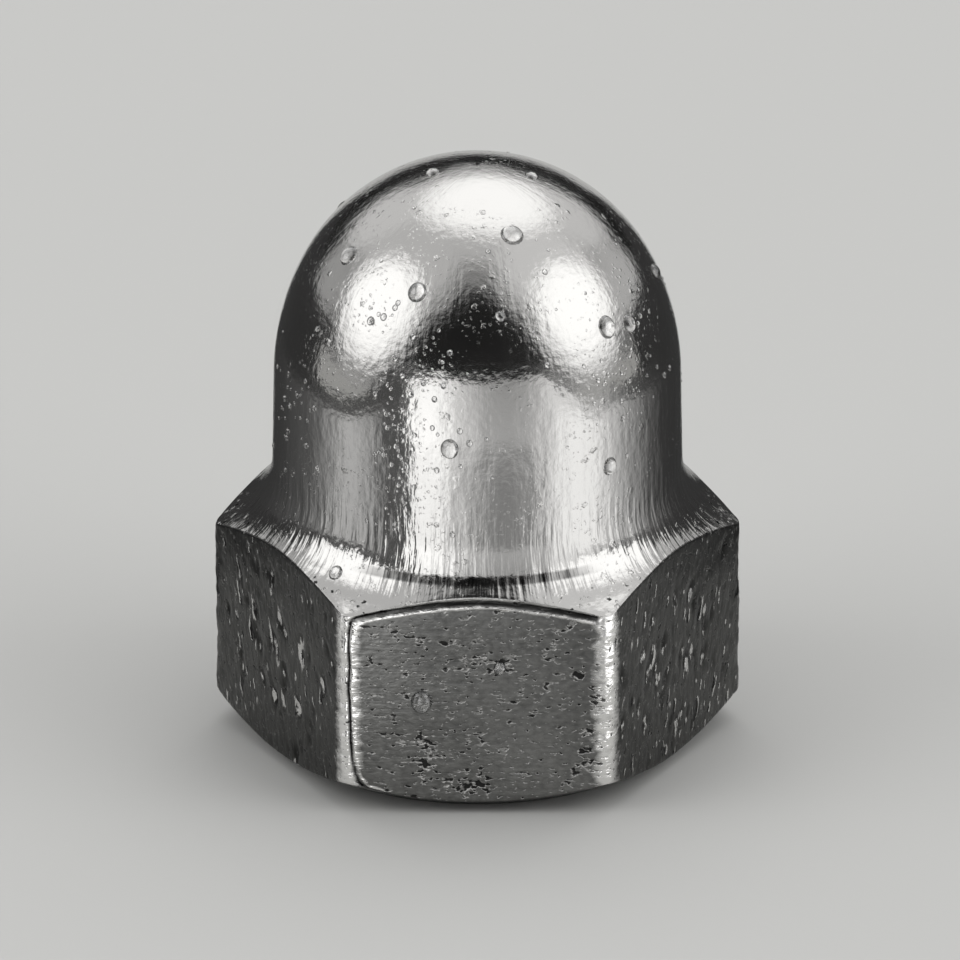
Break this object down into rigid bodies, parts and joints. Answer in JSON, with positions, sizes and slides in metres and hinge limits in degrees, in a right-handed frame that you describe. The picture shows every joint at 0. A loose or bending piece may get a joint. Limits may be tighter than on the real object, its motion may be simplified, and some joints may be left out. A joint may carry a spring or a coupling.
{
  "type": "domed cap nut",
  "caption": "Hexagon nut closed by a high dome over a blind threaded hole, for covering a bolt's end.",
  "frame": {"origin": "centre of the bearing face, on the thread's axis", "axes": "+Z along the thread's axis from the bearing face up through the dome, +X towards a corner of the hexagon, -Y out of a flat"},
  "size_m": [0.0206, 0.018, 0.0237],
  "materials": {
    "stainless_steel": "cold-forged and tumbled stainless steel, fine grain along the dome's wall"
  },
  "bodies": {
    "root": {"cap_nut": "stainless_steel"}
  },
  "joints": []
}
